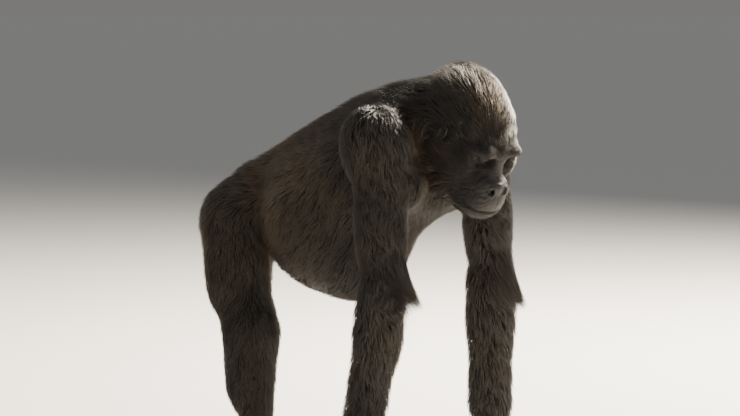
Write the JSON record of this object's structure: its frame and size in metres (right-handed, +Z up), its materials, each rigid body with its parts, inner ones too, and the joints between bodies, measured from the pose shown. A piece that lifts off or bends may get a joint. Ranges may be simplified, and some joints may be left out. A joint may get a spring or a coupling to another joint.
{
  "type": "gorilla",
  "caption": "Life-size standing gorilla on its knuckles and soles, head lowered and turned a little to its right, with a dark shaggy coat.",
  "frame": {"origin": "middle of the bounding box, on the floor under the soles and knuckles", "axes": "+X forward, towards the face; +Y to the animal's left; +Z up"},
  "size_m": [0.9124, 0.5328, 0.9527],
  "materials": {
    "fur": "matt, long straight hair",
    "skin": "bare wrinkled skin, half matt",
    "eye": "wet, glossy"
  },
  "bodies": {
    "root": {"pelvis": "fur", "belly": "fur", "chest": "fur", "neck": "fur", "head": "fur", "eye_right": "eye", "ear_right": "skin", "upper_arm_right": "fur", "forearm_right": "fur", "hand_right": "skin", "finger_1_right": "skin", "finger_2_right": "skin", "finger_3_right": "skin", "finger_4_right": "skin", "thumb_right": "skin", "thigh_right": "fur", "shin_right": "fur", "foot_right": "skin", "toe_1_right": "skin", "toe_2_right": "skin", "toe_3_right": "skin", "toe_4_right": "skin", "big_toe_right": "skin", "eye_left": "eye", "ear_left": "skin", "upper_arm_left": "fur", "forearm_left": "fur", "hand_left": "skin", "finger_1_left": "skin", "finger_2_left": "skin", "finger_3_left": "skin", "finger_4_left": "skin", "thumb_left": "skin", "thigh_left": "fur", "shin_left": "fur", "foot_left": "skin", "toe_1_left": "skin", "toe_2_left": "skin", "toe_3_left": "skin", "toe_4_left": "skin", "big_toe_left": "skin"}
  },
  "joints": []
}
